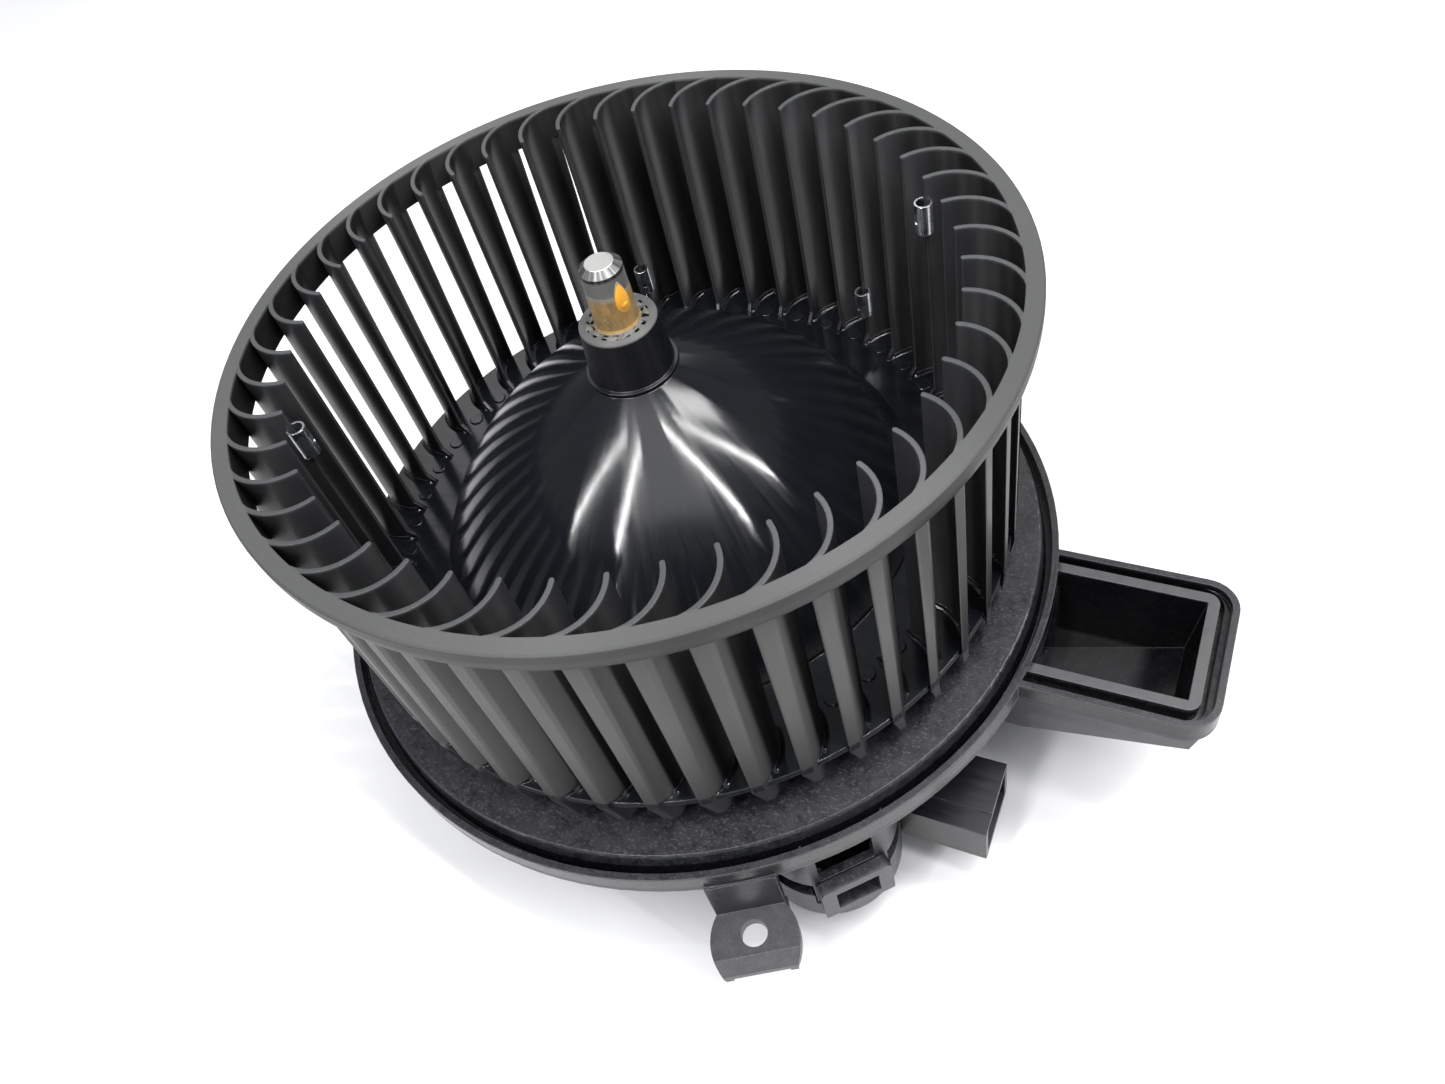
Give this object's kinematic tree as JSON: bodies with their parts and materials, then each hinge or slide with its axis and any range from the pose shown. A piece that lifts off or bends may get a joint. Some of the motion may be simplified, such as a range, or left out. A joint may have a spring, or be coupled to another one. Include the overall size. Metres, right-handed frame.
{
  "type": "automotive heater blower motor",
  "caption": "Squirrel-cage blower wheel on a brushed DC motor in a moulded flange housing, with mounting ears, cooling-air duct and plug socket.",
  "frame": {"origin": "centre of the three ear holes, on the motor axis, in the plane on which the ears seat", "axes": "+Z along the motor axis towards the wheel's open end, +X along the cooling-air duct"},
  "size_m": [0.2066, 0.167, 0.1238],
  "materials": {
    "wheel_plastic": "satin black moulded plastic, glossier on the dome",
    "housing_plastic": "black glass-filled moulded plastic, fine mottled grain",
    "connector_plastic": "black moulded plastic",
    "zinc_steel": "zinc-plated sheet steel",
    "shaft_steel": "ground steel",
    "spring_steel": "spring steel",
    "lamination_steel": "stacked laminations",
    "enamelled_copper": "enamelled copper wire",
    "copper": "bare copper",
    "tinned_brass": "stamped brass",
    "sintered_bronze": "oil-filled sintered bronze",
    "phenolic": "brown phenolic moulding",
    "ferrite": "sintered ferrite",
    "carbon": "graphite brush",
    "damper_rubber": "soft moulded rubber",
    "oiled_felt": "oil-soaked felt",
    "capacitor_blue": "dipped film capacitor",
    "amber_compound": "cured amber retaining compound"
  },
  "bodies": {
    "housing": {"mounting_flange": "housing_plastic", "pod_cover": "housing_plastic", "housing_base": "housing_plastic", "base_screws": "zinc_steel", "connector_housing": "connector_plastic", "power_terminals": "tinned_brass", "motor_can": "zinc_steel", "motor_end_plate": "zinc_steel", "upper_bearing": "sintered_bronze", "lower_bearing": "sintered_bronze", "bearing_felts": "oiled_felt", "bearing_retainers": "spring_steel", "field_magnets": "ferrite", "magnet_springs": "spring_steel", "upper_damper": "damper_rubber", "lower_damper": "damper_rubber", "brush_card": "phenolic", "brush_holders": "tinned_brass", "suppression_chokes": "enamelled_copper", "suppression_capacitor": "capacitor_blue", "thermal_fuse": "connector_plastic", "brush_spring_a": "spring_steel", "brush_lead_a": "copper", "brush_spring_b": "spring_steel", "brush_lead_b": "copper"},
    "rotor": {"fan_wheel": "wheel_plastic", "balance_clips": "zinc_steel", "motor_shaft": "shaft_steel", "retaining_compound": "amber_compound", "armature_core": "lamination_steel", "armature_windings": "enamelled_copper", "commutator_hub": "phenolic", "commutator_bars": "copper", "thrust_washers": "phenolic"},
    "brush_a_carrier": {"brush_a": "carbon"},
    "brush_b_carrier": {"brush_b": "carbon"}
  },
  "joints": [
    {"name": "rotor_spin", "type": "hinge", "parent": "housing", "child": "rotor", "pos_m": [0, 0, 0], "axis": [0, 0, 1], "continuous": true},
    {"name": "brush_a_slide", "type": "slide", "parent": "housing", "child": "brush_a_carrier", "axis": [0.7071, 0.7071, 0], "range_m": [0, 0.004], "stiffness_N_per_m": 300, "springref_m": -0.01, "deforming": ["brush_spring_a", "brush_lead_a"]},
    {"name": "brush_b_slide", "type": "slide", "parent": "housing", "child": "brush_b_carrier", "axis": [-0.7071, -0.7071, 0], "range_m": [0, 0.004], "stiffness_N_per_m": 300, "springref_m": -0.01, "deforming": ["brush_spring_b", "brush_lead_b"]}
  ]
}
